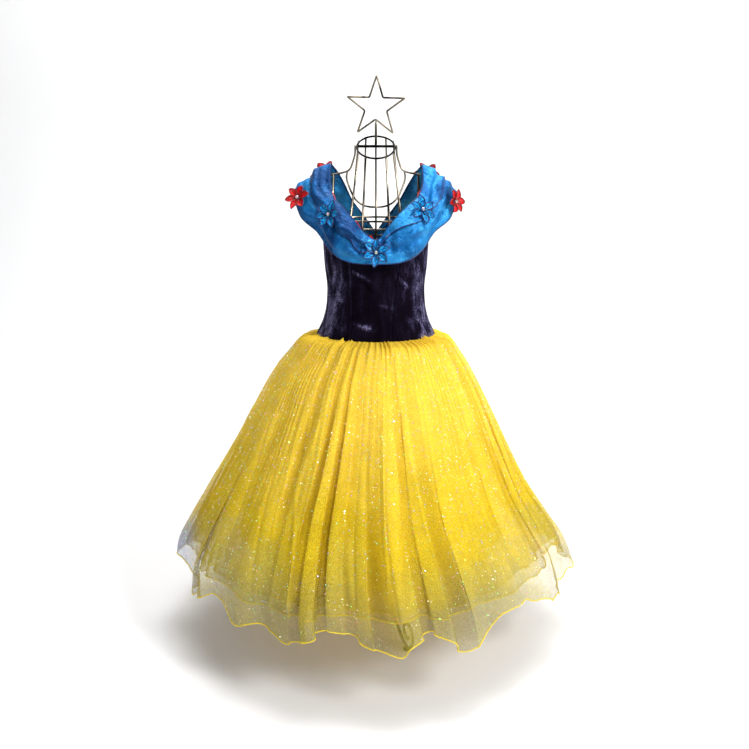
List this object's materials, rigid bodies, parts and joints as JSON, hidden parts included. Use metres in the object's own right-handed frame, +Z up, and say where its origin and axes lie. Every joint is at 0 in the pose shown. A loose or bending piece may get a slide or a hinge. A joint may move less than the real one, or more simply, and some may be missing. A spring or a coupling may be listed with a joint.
{
  "type": "princess costume dress on a wire dress form",
  "caption": "Child's princess costume dress with a velvet bodice, off-shoulder satin collar with flowers and a long layered tulle skirt, on a wire dress form with a star finial.",
  "frame": {"origin": "on the floor under the pole of the stand, the centre of the part's outline", "axes": "+Z up, the front of the dress faces -Y and +X is the viewer's right"},
  "size_m": [0.8288, 0.8119, 1.1314],
  "materials": {
    "velvet": "navy-black stretch velvet",
    "satin": "blue satin",
    "facing": "red satin",
    "tulle": "yellow glitter tulle",
    "slip": "yellow lining",
    "blue": "blue wired organza",
    "red": "red wired organza",
    "wire": "antique brass plated wire",
    "stand": "black painted steel"
  },
  "bodies": {
    "root": {"base_bar_x": "wire", "base_bar_y": "wire", "bodice_back_left": "velvet", "bodice_back_right": "velvet", "bodice_front": "velvet", "bodice_side_front_left": "velvet", "bodice_side_front_right": "velvet", "bodice_side_left": "velvet", "bodice_side_right": "velvet", "collar_cuff": "satin", "collar_lower_tier": "satin", "finial_rod": "wire", "finial_star": "wire", "flower_back_left": "red", "flower_back_right": "red", "flower_centre": "blue", "flower_left": "blue", "flower_right": "blue", "flower_shoulder_left": "red", "flower_shoulder_right": "red", "glide_front": "stand", "glide_left_back": "stand", "glide_right_back": "stand", "leg_front": "stand", "leg_left_back": "stand", "leg_right_back": "stand", "neck_bar": "stand", "neck_facing": "facing", "neck_ring": "wire", "rib_back": "wire", "rib_back_left_1": "wire", "rib_back_left_2": "wire", "rib_back_right_1": "wire", "rib_back_right_2": "wire", "rib_front": "wire", "rib_front_left_1": "wire", "rib_front_left_2": "wire", "rib_front_right_1": "wire", "rib_front_right_2": "wire", "rib_shoulder_back_left": "wire", "rib_shoulder_back_right": "wire", "rib_shoulder_front_left": "wire", "rib_shoulder_front_right": "wire", "ring_bust": "wire", "ring_chest": "wire", "ring_hip": "wire", "ring_waist": "wire", "scoop_wire": "wire", "shoulder_wire_left": "wire", "shoulder_wire_right": "wire", "skirt_second_tulle": "tulle", "skirt_slip": "slip", "skirt_third_tulle": "tulle", "skirt_top_tulle": "tulle", "stand_pole": "stand"}
  },
  "joints": []
}
